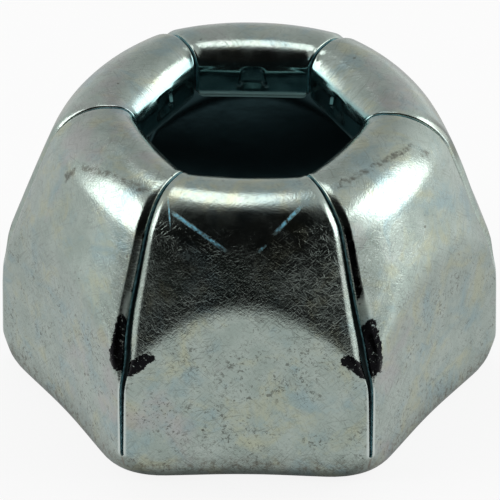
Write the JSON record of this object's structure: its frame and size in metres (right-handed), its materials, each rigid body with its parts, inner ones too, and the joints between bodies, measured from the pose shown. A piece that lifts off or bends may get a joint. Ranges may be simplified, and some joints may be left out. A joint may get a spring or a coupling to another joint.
{
  "type": "push-on nut",
  "caption": "Hexagonal push-on nut stamped from spring steel sheet, with slotted petals rolled inward into flat fingers that grip a plain stud.",
  "frame": {"origin": "middle of the base plane, on which the lower edge of the skirt rests", "axes": "+Z along the stud, from the open base towards the rolled lip; one flat faces -Y and two corners lie on X"},
  "size_m": [0.0146, 0.0126, 0.0088],
  "materials": {
    "zinc_steel": "bright zinc plate on spring steel"
  },
  "bodies": {
    "root": {"push_on_nut": "zinc_steel"}
  },
  "joints": []
}
